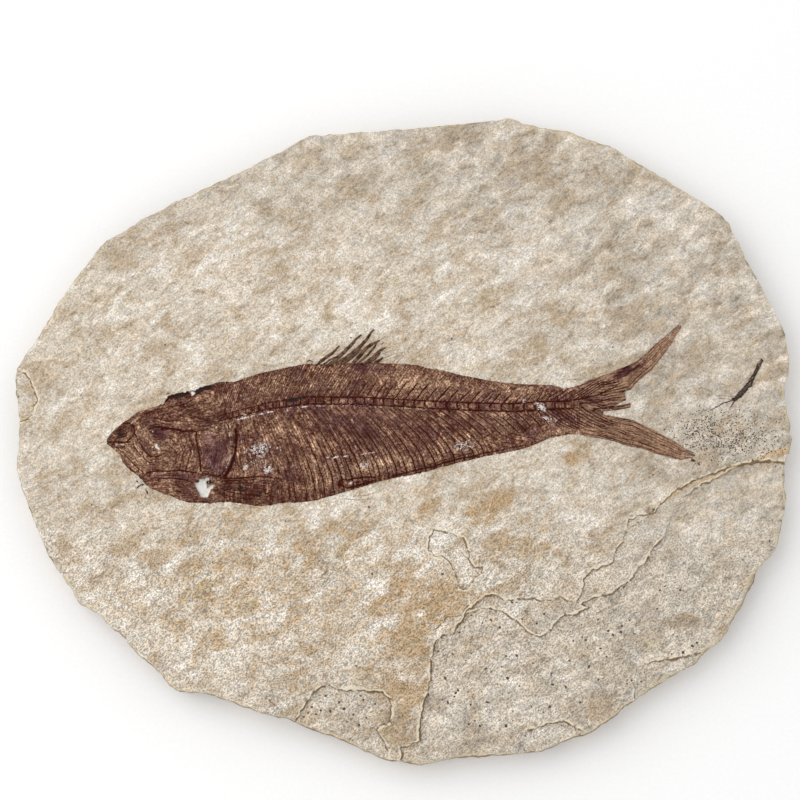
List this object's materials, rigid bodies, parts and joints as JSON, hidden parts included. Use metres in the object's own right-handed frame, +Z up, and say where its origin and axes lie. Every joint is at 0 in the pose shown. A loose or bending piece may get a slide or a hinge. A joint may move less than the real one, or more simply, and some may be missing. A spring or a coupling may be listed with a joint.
{
  "type": "fossil fish slab",
  "caption": "Irregular slab of split pale limestone with one flattened fossil fish in low relief and a small scrap of fossil plant.",
  "frame": {"origin": "middle of the object's box, on the flat underside of the slab", "axes": "+X from the fish's snout towards its tail, along the slab's longest side; +Y towards the fish's back; +Z up, out of the face that shows the fossil"},
  "size_m": [0.2006, 0.1682, 0.0103],
  "materials": {
    "limestone": "matt, fine-grained, split along its layers",
    "fossil_bone": "satin, brown mineralised bone and scale",
    "carbonised_plant": "dull black carbon film"
  },
  "bodies": {
    "root": {"slab": "limestone", "fish": "fossil_bone", "plant_fragment": "carbonised_plant"}
  },
  "joints": []
}
